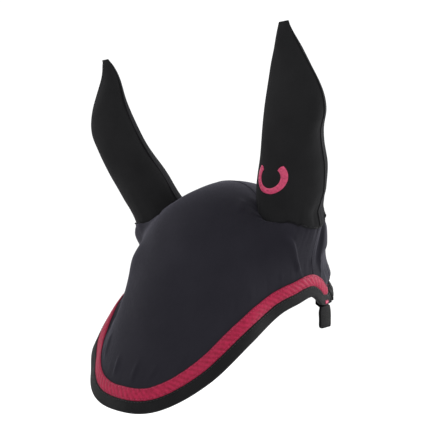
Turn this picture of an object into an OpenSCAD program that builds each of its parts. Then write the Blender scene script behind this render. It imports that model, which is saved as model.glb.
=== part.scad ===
// Fly veil for a horse: a cap of cloth over the poll and forehead, with two ear sleeves,
// a braided and bound hem, an elastic back edge and two hanging tabs.
// +X is the horse's left, -Y its nose, +Z up. The origin is under the cloth at the poll.

/* [Cap] */
// Radius of the dome over the poll
dome_r = 104; // [98:1:110]
// Outward slope of the cloth below the dome at the forehead, in degrees from upright
forehead_flare = 27; // [20:1:30]
// Outward slope at the sides of the head
side_flare = 3; // [0:1:6]
// Outward slope at the nape, where it turns in
nape_flare = -10; // [-12:1:-4]
// Thickness of the cap's cloth
cloth_t = 1.4; // [1.2:0.1:2]

/* [Hem] */
// Reach of the cloth from the poll to the tip on the forehead
tip_reach = 280; // [270:1:290]
// Reach of the cloth from the poll to the hem at the side
side_reach = 172; // [168:1:178]
// Reach of the cloth from the poll to the hem at the nape
nape_reach = 167; // [160:1:172]
// Width of the folded binding
binding_w = 9; // [8:1:14]
// Width of the braid beside it
braid_w = 10.5; // [9:0.5:14]
// Height of the braid over the cloth
braid_t = 2; // [1.6:0.1:3]

/* [Ears] */
// Distance over the cloth from the poll to the middle of an ear hole
ear_out = 92; // [88:1:96]
// Radius of an ear hole, over the cloth
ear_hole_r = 38; // [34:1:40]
// Length of a sleeve above its hinge line
sleeve_l = 178; // [170:1:190]
// Half the width of a sleeve's opening
sleeve_w = 38; // [34:1:40]
// Half the depth of a sleeve's opening
sleeve_d = 24; // [21:1:25]
// Forward lean of the ears, in degrees
ear_lean = 19; // [10:1:24]
// How far a sleeve's tip stands outside its base
ear_splay = 29; // [15:1:40]
// How far a sleeve bows outwards half-way up
ear_bow = 21; // [0:1:22]

/* [Tabs] */
// Width of a tab
tab_w = 20; // [12:1:22]
// Length of a tab
tab_l = 20; // [16:1:35]
// Angle of the tabs round the head from the nose
tab_angle = 100; // [97:1:115]

/* [Hidden] */

// Line across the head through both ear holes, forward of the poll
crown_v = -8;
// Angle of the side corners, where the back edge starts
corner_angle = 100;
// Hinge point of the left ear and its clearance round the base
ear_hinge = [89, -17, -31];
hinge_r = 27;
hinge_gap = 1;
sleeve_t = 1.4;
binding_t = 0.9;
// Gap between cut edges that meet, and between the cloth and a trim laid on it
ease = 0.15;
lay = 0.5;

// Hem reach by angle round the head, from the nose to the nape
hem_reach = [[-15, tip_reach - 6], [0, tip_reach], [15, tip_reach - 6], [30, tip_reach - 33],
             [45, tip_reach - 69], [60, side_reach + 14], [74, side_reach + 4],
             [84, side_reach - 1], [89, side_reach + 2], [95, side_reach + 9],
             [105, side_reach + 10], [125, side_reach + 5], [150, nape_reach + 4],
             [180, nape_reach], [210, nape_reach + 4]];
// Outward slope by angle round the head
flare_by_angle = [[-30, forehead_flare - 2], [0, forehead_flare], [30, forehead_flare - 2],
                  [45, side_flare + 17], [60, side_flare + 5], [90, side_flare - 2], [120, -2],
                  [150, nape_flare + 4], [180, nape_flare], [210, nape_flare + 4]];
// Half-width and half-depth of a sleeve, as shares of its opening, by height along it
sleeve_width_at = [[-0.1, 1.02], [0, 1.02], [0.1, 1], [0.3, 0.95], [0.48, 0.88], [0.62, 0.77],
                   [0.78, 0.5], [0.9, 0.24], [1, 0.07], [1.1, 0.07]];
sleeve_depth_at = [[-0.1, 1.15], [0, 1.12], [0.09, 1], [0.25, 0.98], [0.5, 0.76],
                   [0.75, 0.42], [0.9, 0.24], [1, 0.1], [1.1, 0.1]];

// ---- curves ----

// A smooth curve through a list of [x, y] knots, read at x
function knot(list, x, i = 1) =
    i >= len(list) - 3 || x <= list[i + 1][0] ? i : knot(list, x, i + 1);
function slope(list, i) =
    (list[i + 1][1] - list[i - 1][1]) / (list[i + 1][0] - list[i - 1][0]);
function track(list, x) =
    let (i = knot(list, x),
         w = list[i + 1][0] - list[i][0],
         t = (x - list[i][0]) / w,
         a = list[i][1],
         b = list[i + 1][1])
    (1 + 2 * t) * pow(1 - t, 2) * a + t * pow(1 - t, 2) * w * slope(list, i)
    + t * t * (3 - 2 * t) * b + t * t * (t - 1) * w * slope(list, i + 1);
function mix(a, b, t) = a * (1 - t) + b * t;
function unit(v) = v / norm(v);
function sides(a) = abs(a) > 180 ? 360 - abs(a) : abs(a);

// ---- the cap's surface: angle round the head from the nose, reach from the poll ----

function flare(a) = track(flare_by_angle, sides(a));
function reach(a) = track(hem_reach, sides(a));
function fall(a, s) =
    let (turn = 90 - flare(a),
         straight = max(0, s - dome_r * turn * PI / 180))
    [min(turn, s / dome_r * 180 / PI), straight];
function cap_point(a, s, h) =
    let (f = fall(a, s),
         r = (dome_r + h) * sin(f[0]) + f[1] * cos(f[0]),
         z = -dome_r + (dome_r + h) * cos(f[0]) - f[1] * sin(f[0]))
    [r * sin(a), -r * cos(a), z];
// The same by flat coordinates: u to the left, v to the back
function cloth_point(uv, h) = cap_point(atan2(uv[0], -uv[1]), norm(uv), h);

// A place a distance d inside the hem, measured square to it
function hem_place(a, d) =
    let (f = fall(a, reach(a)),
         r = dome_r * sin(f[0]) + f[1] * cos(f[0]),
         run = (reach(a + 1) - reach(a - 1)) / 2 * 180 / PI,
         n = norm([r, run]))
    [a + d * run / n / r * 180 / PI, reach(a) - d * r / n];
function hem_point(a, d, h) =
    let (p = hem_place(a, d))
    cap_point(p[0], p[1], h);

// ---- solids from grids of points ----

// Closed skin between two grids of the same shape, outer over inner
module skin(outer, inner) {
    rows = len(outer);
    cols = len(outer[0]);
    count = rows * cols;
    points = concat([for (row = outer) each row], [for (row = inner) each row]);
    rim = concat([for (j = [0 : cols - 1]) j],
                 [for (i = [1 : rows - 1]) i * cols + cols - 1],
                 [for (j = [cols - 2 : -1 : 0]) (rows - 1) * cols + j],
                 [for (i = [rows - 2 : -1 : 1]) i * cols]);
    top = [for (i = [0 : rows - 2], j = [0 : cols - 2], half = [0, 1])
        let (k = i * cols + j)
        half == 0 ? [k, k + 1, k + cols + 1] : [k, k + cols + 1, k + cols]];
    bottom = [for (f = top) [f[2] + count, f[1] + count, f[0] + count]];
    edge = [for (k = [0 : len(rim) - 1], half = [0, 1])
        let (p = rim[k], q = rim[(k + 1) % len(rim)])
        half == 0 ? [q, p, p + count] : [q, p + count, q + count]];
    polyhedron(points, concat(top, bottom, edge));
}

// Closed bar through rings of points; closed = true joins its ends
module bar(rings, closed = false) {
    n = len(rings);
    m = len(rings[0]);
    points = [for (ring = rings) each ring];
    walls = [for (i = [0 : n - (closed ? 1 : 2)], j = [0 : m - 1], half = [0, 1])
        let (a = i * m + j,
             b = i * m + (j + 1) % m,
             c = (i + 1) % n * m + (j + 1) % m,
             d = (i + 1) % n * m + j)
        half == 0 ? [a, b, c] : [a, c, d]];
    first = [for (j = [m - 1 : -1 : 0]) j];
    last = [for (j = [0 : m - 1]) (n - 1) * m + j];
    polyhedron(points, closed ? walls : concat(walls, [first, last]));
}

// ---- the cap ----

// Edge of a panel along the crown and round the ear holes, k from -1 to 1, back = 1 or -1
function crown_edge(k, back) =
    let (flat = ear_out - ear_hole_r,
         way = abs(k) * (flat + PI * ear_hole_r),
         turn = (way - flat) / (PI * ear_hole_r) * 180,
         side = k < 0 ? -1 : 1,
         seam_v = crown_v + back * ease)
    way < flat ? [side * way, seam_v]
               : [side * (ear_out - ear_hole_r * cos(turn)),
                  seam_v + back * ear_hole_r * sin(turn)];
// Angle round the head where the side seam meets the hem
seam_angle = atan2(side_reach, -crown_v);
function hem_edge(k, back) =
    let (a = back < 0 ? k * seam_angle : 180 - k * (180 - seam_angle))
    reach(a) * [sin(a), -cos(a)];

module panel(back) {
    cols = 44;
    rows = 14;
    grid = [for (i = [0 : rows])
        [for (j = [0 : cols])
            let (k = back * (1 - 2 * j / cols))
            mix(crown_edge(k, back), hem_edge(k, back), i / rows)]];
    skin([for (row = grid) [for (uv = row) cloth_point(uv, cloth_t)]],
         [for (row = grid) [for (uv = row) cloth_point(uv, 0)]]);
}

// Flat tape on the cloth through places given as flat coordinates
module tape(from, to, w, t, steps) {
    bar([for (i = [0 : steps])
        let (uv = mix(from, to, i / steps))
        [cloth_point(uv + [0, -w / 2], cloth_t + lay),
         cloth_point(uv + [0, -w / 3], cloth_t + t),
         cloth_point(uv + [0, w / 3], cloth_t + t),
         cloth_point(uv + [0, w / 2], cloth_t + lay)]]);
}

module front_panel() {
    color("#29282e") panel(-1);
}

module rear_panel() {
    color("#26252b") panel(1);
}

module crown_seam() {
    reach_u = ear_out - ear_hole_r - 2.5;
    color("#1f1e23") tape([-reach_u, crown_v], [reach_u, crown_v], 6, 1, 24);
}

module side_seam(side) {
    from = [side * (ear_out + ear_hole_r + 2.5), crown_v];
    to = [side * (side_reach - binding_w - braid_w - 2), crown_v];
    color("#1f1e23") tape(side > 0 ? from : to, side > 0 ? to : from, 6, 1, 6);
}

module left_side_seam() { side_seam(1); }
module right_side_seam() { side_seam(-1); }

// ---- the hem ----

// Folded tape round the cloth's edge, from one angle to another
module binding(from, to, steps, room) {
    out = cloth_t + lay;
    gap = 0.6;
    turn = gap + binding_t * 0.7;
    fold = gap + binding_t * 1.5;
    bar([for (i = [0 : steps])
        let (a = mix(from, to, i / steps))
        [hem_point(a, -gap, out), hem_point(a, -gap, -room),
         hem_point(a, binding_w, -room), hem_point(a, binding_w, -room - binding_t),
         hem_point(a, -turn, -room - binding_t), hem_point(a, -fold, cloth_t / 2),
         hem_point(a, -turn, out + binding_t), hem_point(a, binding_w, out + binding_t),
         hem_point(a, binding_w, out)]]);
}

module front_binding() {
    color("#2b2a2c") binding(-corner_angle, corner_angle, 96, lay);
}

module rear_binding() {
    start = corner_angle + 0.4;
    color("#2b2a2c") binding(start, 360 - start, 64, 2);
}

module rear_elastic() {
    start = corner_angle + 3;
    color("#e8e4dc")
        bar([for (i = [0 : 56])
            let (a = mix(start, 360 - start, i / 56))
            [hem_point(a, binding_w - 2, -1.6), hem_point(a, 2, -1.6),
             hem_point(a, 2, -0.6), hem_point(a, binding_w - 2, -0.6)]]);
}

module hem_braid() {
    outer = binding_w + 0.2;
    inner = outer + braid_w;
    color("#b03a5b")
        bar([for (i = [0 : 120])
            let (a = mix(-corner_angle - 4, corner_angle + 4, i / 120))
            [hem_point(a, outer, cloth_t + lay), hem_point(a, outer + 1.5, cloth_t + braid_t),
             hem_point(a, inner - 1.5, cloth_t + braid_t), hem_point(a, inner, cloth_t + lay)]]);
}

// Line of thread along the hem, d inside it and h over the cloth
module thread_row(d, h, from, to, steps) {
    r = 0.45;
    bar([for (i = [0 : steps])
        let (a = mix(from, to, i / steps))
        [hem_point(a, d - r, h), hem_point(a, d, h + r), hem_point(a, d + r, h),
         hem_point(a, d, h - r / 2)]]);
}

module braid_stitch_upper() {
    color("#8f2846")
        thread_row(binding_w + braid_w - 2.5, cloth_t + braid_t + 0.3,
                   -corner_angle - 3, corner_angle + 3, 100);
}

module braid_stitch_lower() {
    color("#8f2846")
        thread_row(binding_w + 2.7, cloth_t + braid_t + 0.3,
                   -corner_angle - 3, corner_angle + 3, 100);
}

module binding_stitch() {
    color("#1a191c")
        thread_row(binding_w - 2, cloth_t + lay + binding_t + 0.3, -180, 179, 150);
}

// ---- the ears ----

// Hinge frame of an ear: x to the horse's left, y to the back, z along the ear
function ear_frame(side, p) =
    [side * (ear_hinge[0] + p[0]),
     ear_hinge[1] + p[1] * cos(ear_lean) - p[2] * sin(ear_lean),
     ear_hinge[2] + p[1] * sin(ear_lean) + p[2] * cos(ear_lean)];
function in_ear_frame(p) =
    let (y = p[1] - ear_hinge[1], z = p[2] - ear_hinge[2])
    [p[0] - ear_hinge[0],
     y * cos(ear_lean) + z * sin(ear_lean),
     -y * sin(ear_lean) + z * cos(ear_lean)];

// Rim of the left ear hole on the cap, h over the cloth's inner side; a = 0 is outermost
function hole_point(a, r, h) =
    cloth_point([ear_out + r * cos(a), crown_v + r * sin(a)], h);

// Base of the ear: rises from the hole to a rim that the sleeve swings round
function base_point(a, t, t_in) =
    let (low = in_ear_frame(hole_point(a, ear_hole_r - 1.2 - t_in, 0.3)),
         lip = in_ear_frame(hole_point(a, ear_hole_r - 1.2 - t_in, 5)),
         x = (sleeve_w - t_in) * cos(a),
         y = (sleeve_d - t_in) * sin(a),
         top = sqrt(pow(hinge_r, 2) - y * y),
         foot = min(top - 3, low[2] + 8 + 12 * max(0, cos(a))))
    t < 0.125 ? mix(low, lip, t / 0.125)
    : t < 0.5 ? mix(lip, [x, y, foot], 1 - pow(1 - (t - 0.125) / 0.375, 2))
    : [x, y, mix(foot, top, (t - 0.5) / 0.5)];

module ear_base(side) {
    rings = 8;
    turns = 32;
    thick = 1.3;
    color("#242428")
        bar([for (j = [0 : turns - 1])
            let (a = side * j * 360 / turns)
            concat([for (i = [0 : rings]) ear_frame(side, base_point(a, i / rings, 0))],
                   [for (i = [rings : -1 : 0]) ear_frame(side, base_point(a, i / rings, thick))])],
            closed = true);
}

module ear_base_seam(side) {
    turns = 32;
    r = 1.1;
    color("#1c1b1f")
        bar([for (j = [0 : turns - 1])
            let (a = side * j * 360 / turns, h = cloth_t + lay + r)
            [for (q = [0 : 5])
                let (p = hole_point(a, ear_hole_r + 1.2 + r * cos(q * 60), h + r * sin(q * 60)))
                [side * p[0], p[1], p[2]]]],
            closed = true);
}

// A sleeve in its hinge frame: a round it, t along it, grow = offset outwards
function sleeve_point(a, t, grow) =
    let (foot_y = sleeve_d * sin(a),
         foot = sqrt(pow(hinge_r + hinge_gap, 2) - foot_y * foot_y),
         z = mix(foot, sleeve_l, t),
         k = z / sleeve_l,
         w = sleeve_w * track(sleeve_width_at, k) + grow,
         d = sleeve_d * track(sleeve_depth_at, k) + grow,
         bow = ear_bow * pow(sin(180 * k), 3),
         out = ear_splay * pow(k, 1.5) + bow)
    [out + w * cos(a), d * sin(a) - 0.6 * bow, z + grow * pow(t, 8)];

module sleeve_half(side, back) {
    cols = 16;
    rows = 20;
    seam = 1.2;
    grid = [for (i = [0 : rows])
        [for (j = [0 : cols])
            let (a = mix(seam, 180 - seam, j / cols))
            [back > 0 ? a : -a, i / rows]]];
    flip = side * back > 0;
    outer = [for (row = grid) [for (g = row) ear_frame(side, sleeve_point(g[0], g[1], sleeve_t))]];
    inner = [for (row = grid) [for (g = row) ear_frame(side, sleeve_point(g[0], g[1], 0))]];
    if (flip) {
        skin(inner, outer);
    } else {
        skin(outer, inner);
    }
}

// Bead along an edge of a sleeve: a = 0 outer, 180 inner
module sleeve_seam(side, a) {
    steps = 24;
    r = 1.1;
    color("#1c1b1f")
        bar([for (i = [0 : steps])
            let (t = 0.01 + 0.985 * i / steps,
                 p = sleeve_point(a, t, sleeve_t + r + ease))
            [for (q = [0 : 5])
                ear_frame(side, p + [r * cos(q * 60), -r * sin(q * 60 * side), 0])]]);
}

module left_ear_front() { color("#232325") sleeve_half(1, -1); }
module left_ear_back() { color("#29292c") sleeve_half(1, 1); }
module right_ear_front() { color("#232325") sleeve_half(-1, -1); }
module right_ear_back() { color("#29292c") sleeve_half(-1, 1); }
module left_ear_inner_seam() { sleeve_seam(1, 180); }
module left_ear_outer_seam() { sleeve_seam(1, 0); }
module right_ear_inner_seam() { sleeve_seam(-1, 180); }
module right_ear_outer_seam() { sleeve_seam(-1, 0); }
module left_ear_base() { ear_base(1); }
module right_ear_base() { ear_base(-1); }
module left_ear_base_seam() { ear_base_seam(1); }
module right_ear_base_seam() { ear_base_seam(-1); }

// Raised stitched horseshoe on the front of the left sleeve
module left_ear_emblem() {
    middle_a = -108;
    middle_t = 0.17;
    shoe_r = 12;
    bead = 2.4;
    steps = 32;
    color("#b03a5b")
        bar([for (i = [0 : steps])
            let (b = mix(-50, 230, i / steps))
            [for (q = [0 : 7])
                let (r = shoe_r + bead * cos(q * 45),
                     a = middle_a + r * cos(b) * 1.05 / sleeve_w * 90,
                     t = middle_t - r * 1.2 * sin(b) / sleeve_l)
                ear_frame(1, sleeve_point(a, t, sleeve_t + 0.5 - 0.35 * sin(q * 45)))]]);
}

// ---- the tabs ----

// Places a tab's own frame at the hem: x along the edge, y outwards, z up
module at_tab(side) {
    p = hem_point(tab_angle, 0, cloth_t / 2);
    translate([side * p[0], p[1], p[2]])
        rotate([0, 0, side * (tab_angle - 180)])
            children();
}

module tab(side) {
    drop = 4.4;
    r = tab_w / 2;
    corner_r = 5;
    color("#222125")
        at_tab(side) {
            translate([0, 0, -drop])
                rotate([0, 90, 0])
                    cylinder(r = 1.5, h = tab_w, center = true, $fn = 24);
            translate([0, 0, -drop])
                rotate([90, 0, 0])
                    linear_extrude(height = 2.4, center = true) {
                        translate([-r, -tab_l + corner_r])
                            square([tab_w, tab_l - corner_r]);
                        translate([-r + corner_r, -tab_l])
                            square([tab_w - 2 * corner_r, corner_r]);
                        for (x = [-r + corner_r, r - corner_r])
                            translate([x, -tab_l + corner_r])
                                circle(r = corner_r, $fn = 48);
                    }
        }
}

module tab_tack(side) {
    color("#b03a5b")
        at_tab(side)
            for (x = [-3.6, 0, 3.6])
                translate([x, cloth_t / 2 + lay + binding_t + 0.75, 3.2])
                    cube([1.2, 0.7, 4.2], center = true);
}

module left_tab() { tab(1); }
module right_tab() { tab(-1); }
module left_tab_tack() { tab_tack(1); }
module right_tab_tack() { tab_tack(-1); }

front_panel();
rear_panel();
crown_seam();
left_side_seam();
right_side_seam();
front_binding();
rear_binding();
rear_elastic();
hem_braid();
braid_stitch_upper();
braid_stitch_lower();
binding_stitch();
left_ear_base();
right_ear_base();
left_ear_base_seam();
right_ear_base_seam();
left_tab_tack();
right_tab_tack();
left_tab();
right_tab();
left_ear_front();
left_ear_back();
left_ear_inner_seam();
left_ear_outer_seam();
left_ear_emblem();
right_ear_front();
right_ear_back();
right_ear_inner_seam();
right_ear_outer_seam();
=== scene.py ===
# %% [markdown]
# # A fly veil for a horse
# A fly veil is a cap of dark cloth that lies over a horse's poll and forehead, with a sleeve for
# each ear. Its front hem carries a flat pink braid inside a folded binding, its back hem is drawn
# up on an elastic, and a short tab hangs from each back corner. This notebook builds the looks of
# it in Blender round a fixed frame: the frame holds the sizes and the joints, and each step below
# adds one piece of cloth, tape or thread on top of it.
#
# Lengths in the formulas are in millimetres and angles in degrees, because that is how a maker
# measures a cap; they become metres where a mesh is made. +X is the horse's left, -Y its nose.

# %% Load the frame and note its box
import math
import bmesh
import bpy
import numpy as np
from mathutils import Matrix, Vector


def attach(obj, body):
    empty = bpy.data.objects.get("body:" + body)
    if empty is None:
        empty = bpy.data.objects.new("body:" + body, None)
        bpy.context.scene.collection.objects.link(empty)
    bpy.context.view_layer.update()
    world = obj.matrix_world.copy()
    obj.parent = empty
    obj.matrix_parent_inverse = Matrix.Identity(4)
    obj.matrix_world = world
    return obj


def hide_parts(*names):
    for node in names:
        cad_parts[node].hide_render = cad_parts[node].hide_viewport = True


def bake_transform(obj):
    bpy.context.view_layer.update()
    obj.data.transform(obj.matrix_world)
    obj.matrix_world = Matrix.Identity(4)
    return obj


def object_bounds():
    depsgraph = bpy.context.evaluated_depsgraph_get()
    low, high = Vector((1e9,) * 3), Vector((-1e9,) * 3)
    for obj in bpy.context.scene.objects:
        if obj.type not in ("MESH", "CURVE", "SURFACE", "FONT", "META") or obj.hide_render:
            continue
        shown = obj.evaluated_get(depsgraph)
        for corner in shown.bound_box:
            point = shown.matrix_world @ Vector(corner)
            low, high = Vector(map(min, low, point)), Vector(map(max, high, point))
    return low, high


MM = 0.001
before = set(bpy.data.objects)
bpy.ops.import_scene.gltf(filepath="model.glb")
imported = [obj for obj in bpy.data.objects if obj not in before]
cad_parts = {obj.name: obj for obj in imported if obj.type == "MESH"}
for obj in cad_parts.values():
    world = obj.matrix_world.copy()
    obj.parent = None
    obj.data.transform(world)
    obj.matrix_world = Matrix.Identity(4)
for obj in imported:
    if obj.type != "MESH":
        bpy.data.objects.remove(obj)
cad_box = [list(corner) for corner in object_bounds()]

# %% [markdown]
# ## Camera, floor and light
# The camera comes first, so that every later piece can be judged from it. It stands close, at the
# height of the brow, in front of the horse's left cheek, because a close lens makes the near ear
# look larger than the far one. The floor is a plain pale sheet well below the cap, and the light is
# that of a white room: a bright world for the soft edges, and three large lamps for the form.

# %% Camera
camera_azimuth, camera_height_angle, camera_distance = 40, 1.5, 0.70
camera_target = Vector((0, -0.030, -0.035))
frame_px, focal_px, sensor_mm = 430, 672, 36


def direction(azimuth, elevation):
    a, e = math.radians(azimuth), math.radians(elevation)
    return Vector((math.sin(a) * math.cos(e), -math.cos(a) * math.cos(e), math.sin(e)))


def aim(obj, toward):
    """Turn a camera or lamp so that it looks back along the direction it stands in."""
    obj.rotation_mode = "QUATERNION"
    obj.rotation_quaternion = (-toward).to_track_quat("-Z", "Y")


toward_camera = direction(camera_azimuth, camera_height_angle)
bpy.ops.object.camera_add(location=camera_target + toward_camera * camera_distance)
camera = bpy.context.object
aim(camera, toward_camera)
camera.data.sensor_width = sensor_mm
camera.data.lens = focal_px / frame_px * sensor_mm
bpy.context.scene.camera = camera
print("camera at", [round(c, 3) for c in camera.location], "lens", round(camera.data.lens, 1))

# %% Floor, world and lamps
floor_drop = 0.25
bpy.ops.mesh.primitive_plane_add(size=60, location=(0, 0, cad_box[0][2] - floor_drop))
floor = bpy.context.object
floor.name = "floor"
floor_paint = bpy.data.materials.new("floor_paint")
floor_paint.use_nodes = True
floor_shader = floor_paint.node_tree.nodes["Principled BSDF"]
for socket, value in (("Base Color", (0.97, 0.97, 0.97, 1)), ("Roughness", 0.9),
                      ("Specular IOR Level", 0.1)):
    floor_shader.inputs[socket].default_value = value
floor.data.materials.append(floor_paint)

scene = bpy.context.scene
scene.view_settings.view_transform = "Standard"
scene.world = bpy.data.worlds.new("white_room")
scene.world.use_nodes = True
room_light = scene.world.node_tree.nodes["Background"].inputs
room_light["Color"].default_value = (1, 1, 1, 1)
room_light["Strength"].default_value = 1.1


def lamp(name, azimuth, elevation, distance, width, power):
    """Soft square lamp that faces the middle of the cap."""
    way = direction(azimuth, elevation)
    bpy.ops.object.light_add(type="AREA", location=camera_target + way * distance)
    light = bpy.context.object
    light.name = name
    light.data.size = width
    light.data.energy = power
    aim(light, way)


lamp("key_lamp", 30, 50, 1.4, 0.9, 6)
lamp("left_lamp", 140, 12, 1.3, 0.8, 15)
lamp("right_lamp", -75, 12, 1.3, 0.8, 2.5)

# %% [markdown]
# ## The curves the cap is cut to
# A cap has no straight lines, but it has a simple rule: a round dome over the poll that runs on
# into straight slopes, steeper at the sides than on the forehead. So a place on the cloth is two
# numbers, an angle round the head and a reach down from the poll, and a few knots say how far the
# hem reaches and how much the cloth leans outwards at each angle. A smooth curve through the knots
# gives the rest. The same rule made the solid frame, so the cloth fits it without measuring.

# %% A smooth curve through knots
def track(knots, x):
    """Smooth curve through [x, y] knots; the first and last knot only set the slopes."""
    knot_x, knot_y = np.array(knots, float).T
    x = np.asarray(x, float)
    i = np.clip(np.searchsorted(knot_x, x) - 1, 1, len(knot_x) - 3)
    slope = (knot_y[2:] - knot_y[:-2]) / (knot_x[2:] - knot_x[:-2])
    width = knot_x[i + 1] - knot_x[i]
    t = (x - knot_x[i]) / width
    return ((1 + 2 * t) * (1 - t) ** 2 * knot_y[i] + t * (1 - t) ** 2 * width * slope[i - 1]
            + t * t * (3 - 2 * t) * knot_y[i + 1] + t * t * (t - 1) * width * slope[i])


def smooth(low, high, x):
    """0 below low, 1 above high, and an even curve between them."""
    t = np.clip((np.asarray(x, float) - low) / (high - low), 0, 1)
    return t * t * (3 - 2 * t)


def wander(x):
    """Uneven wave between about -1 and 1, the same on every run."""
    return (np.sin(x) + 0.6 * np.sin(1.7 * x + 1.3) + 0.4 * np.sin(2.9 * x + 4.1)) / 1.6


# %% The cap's surface
dome_r = 104
forehead_flare, side_flare, nape_flare = 27, 3, -10
tip_reach, side_reach, nape_reach = 280, 172, 167
cloth_t = 1.4
binding_w, braid_w = 9, 10.5
corner_angle = 100
crown_v = -8
ear_out, ear_hole_r = 92, 38
HEM_REACH = [[-15, tip_reach - 6], [0, tip_reach], [15, tip_reach - 6], [30, tip_reach - 33],
             [45, tip_reach - 69], [60, side_reach + 14], [74, side_reach + 4],
             [84, side_reach - 1], [89, side_reach + 2], [95, side_reach + 9],
             [105, side_reach + 10], [125, side_reach + 5], [150, nape_reach + 4],
             [180, nape_reach], [210, nape_reach + 4]]
FLARE = [[-30, forehead_flare - 2], [0, forehead_flare], [30, forehead_flare - 2],
         [45, side_flare + 17], [60, side_flare + 5], [90, side_flare - 2], [120, -2],
         [150, nape_flare + 4], [180, nape_flare], [210, nape_flare + 4]]


def sides(a):
    """Angle from the nose to either side, 0 to 180, for any angle round the head."""
    a = np.mod(np.abs(a), 360)
    return np.where(a > 180, 360 - a, a)


def reach(a):
    """Reach of the hem at angle a, with the small waves that sewing leaves in it."""
    return track(HEM_REACH, sides(a)) + 0.45 * wander(np.radians(a) * 7.5)


def fall(a, s):
    """How far the cloth has turned down from level, and the straight length below the dome."""
    turn = 90 - track(FLARE, sides(a))
    straight = np.maximum(0, s - dome_r * np.radians(turn))
    return np.radians(np.minimum(turn, np.degrees(s / dome_r))), straight


def cap_point(a, s, h):
    """Place at angle a and reach s, standing h off the inner face of the cloth."""
    turn, straight = fall(a, s)
    r = (dome_r + h) * np.sin(turn) + straight * np.cos(turn)
    z = -dome_r + (dome_r + h) * np.cos(turn) - straight * np.sin(turn)
    round_head = np.radians(a)
    return np.stack([r * np.sin(round_head), -r * np.cos(round_head), z], axis=-1)


def hem_run(a):
    """Radius of the hem, and how fast its reach changes along it."""
    turn, straight = fall(a, reach(a))
    return (dome_r * np.sin(turn) + straight * np.cos(turn),
            np.degrees(reach(a + 1) - reach(a - 1)) / 2)


def hem_place(a, d):
    """Angle and reach of the place d inside the hem, measured square to it."""
    r, run = hem_run(a)
    length = np.hypot(r, run)
    return a + np.degrees(d * run / length / r), reach(a) - d * r / length


def flat(a, s):
    """Flat coordinates on the cloth: u to the horse's left, v to its tail."""
    return s * np.sin(np.radians(a)), -s * np.cos(np.radians(a))


def unflat(u, v):
    """Angle and reach of a place given by its flat coordinates."""
    return np.degrees(np.arctan2(u, -v)), np.hypot(u, v)


def distance_in(a, s):
    """Distance of a place from the hem, measured square to it."""
    r, run = hem_run(a)
    return (reach(a) - s) * r / np.hypot(r, run)


def distance_along(line):
    """Distance from the start of a line of places to each of them."""
    return np.concatenate([[0], np.cumsum(np.linalg.norm(np.diff(line, axis=0), axis=1))])


tip_mm = cap_point(0, tip_reach, 0)
print("tip of the forehead at", np.round(tip_mm))
print("side hem at", np.round(cap_point(90, side_reach, 0)))

# %% [markdown]
# ## Where the ears lift the cap
# An ear doesn't stand on a round hole in a round dome: its root pushes the cap outwards, and the
# cloth rises to the foot of the sleeve like a tent, most of all on the outer side. So the shape of
# the sleeves comes next, before any cloth is made. A sleeve is round at the foot, flat and narrow
# at the tip, and bows outwards in the middle. The cap is then drawn up to meet its foot, by the
# whole distance at the hole and by less and less away from it.

# %% The sleeve's own surface
ear_hinge = np.array([89, -17, -31])
ear_lean, ear_splay, ear_bow = 19, 29, 21
sleeve_l, sleeve_w, sleeve_d = 178, 38, 24
SLEEVE_WIDTH = [[-0.1, 1.0], [0, 0.98], [0.1, 0.965], [0.3, 0.955], [0.48, 0.925], [0.62, 0.80],
                [0.78, 0.5], [0.9, 0.26], [1, 0.1], [1.1, 0.05]]
SLEEVE_DEPTH = [[-0.1, 1.15], [0, 1.12], [0.09, 1], [0.25, 0.98], [0.5, 0.76],
                [0.75, 0.42], [0.9, 0.24], [0.97, 0.13], [1, 0.02], [1.1, 0.0]]
# how much narrower the outer half of a sleeve is, as a share of its width
OUTER_TUCK = [[-0.1, 0.32], [0, 0.31], [0.06, 0.18], [0.13, 0.07], [0.26, 0.10], [0.40, 0.30],
              [0.47, 0.32], [0.56, 0.16], [0.7, 0.04], [0.8, 0.02], [1, 0], [1.1, 0]]
# how far the right sleeve sags outwards and forwards, in mm
RIGHT_SAG = [[-0.1, 1], [0, 1.2], [0.12, 4.2], [0.22, 3.6], [0.42, 0.4], [0.55, -0.8], [0.75, 0.2],
             [1, 0.3], [1.1, 0]]


def right_sag(z):
    """Soft sleeves never match: the right one hangs lower, outwards and forwards at its foot."""
    k = np.clip(z / sleeve_l, 0, 1)
    sag = track(RIGHT_SAG, k)
    down = 5.0 * (1 - smooth(0, 0.3, k)) + 2.8 * smooth(0.8, 1, k)
    return np.stack([-sag - 3.0 * smooth(0.85, 1, k), -sag, -down], axis=-1)


def ear_frame(side, p):
    """From the ear's own frame, with z along the ear, to the cap's frame."""
    sin, cos = math.sin(math.radians(ear_lean)), math.cos(math.radians(ear_lean))
    place = np.stack([side * (ear_hinge[0] + p[..., 0]),
                      ear_hinge[1] + p[..., 1] * cos - p[..., 2] * sin,
                      ear_hinge[2] + p[..., 1] * sin + p[..., 2] * cos], axis=-1)
    return place + right_sag(p[..., 2]) if side < 0 else place


def sleeve_point(a, z, grow):
    """Sleeve in its own frame: a round it from the outer edge, z along it, grow outwards."""
    k = np.clip(z / sleeve_l, 0, 1)
    a = np.radians(a)
    tuck = 1 - track(OUTER_TUCK, k) * np.clip(np.cos(a), 0, 1)
    w = sleeve_w * track(SLEEVE_WIDTH, k) * tuck + grow
    d = sleeve_d * track(SLEEVE_DEPTH, k) + grow * smooth(1.0, 0.96, k)
    bow = ear_bow * np.sin(np.pi * k ** 1.1) ** 2
    out = ear_splay * k ** 1.5 + bow - 2.0 * smooth(0.85, 1, k)
    return np.stack([out + w * np.cos(a), d * np.sin(a) - 0.7 * bow, z], axis=-1)


# %% The foot of a sleeve, and the cap drawn up to it
def hole_radius(a):
    """The hole is cut close on its outer side, where the cap has the least cloth to spare."""
    return ear_hole_r - 6 * (1 + np.cos(np.radians(a)))


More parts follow.
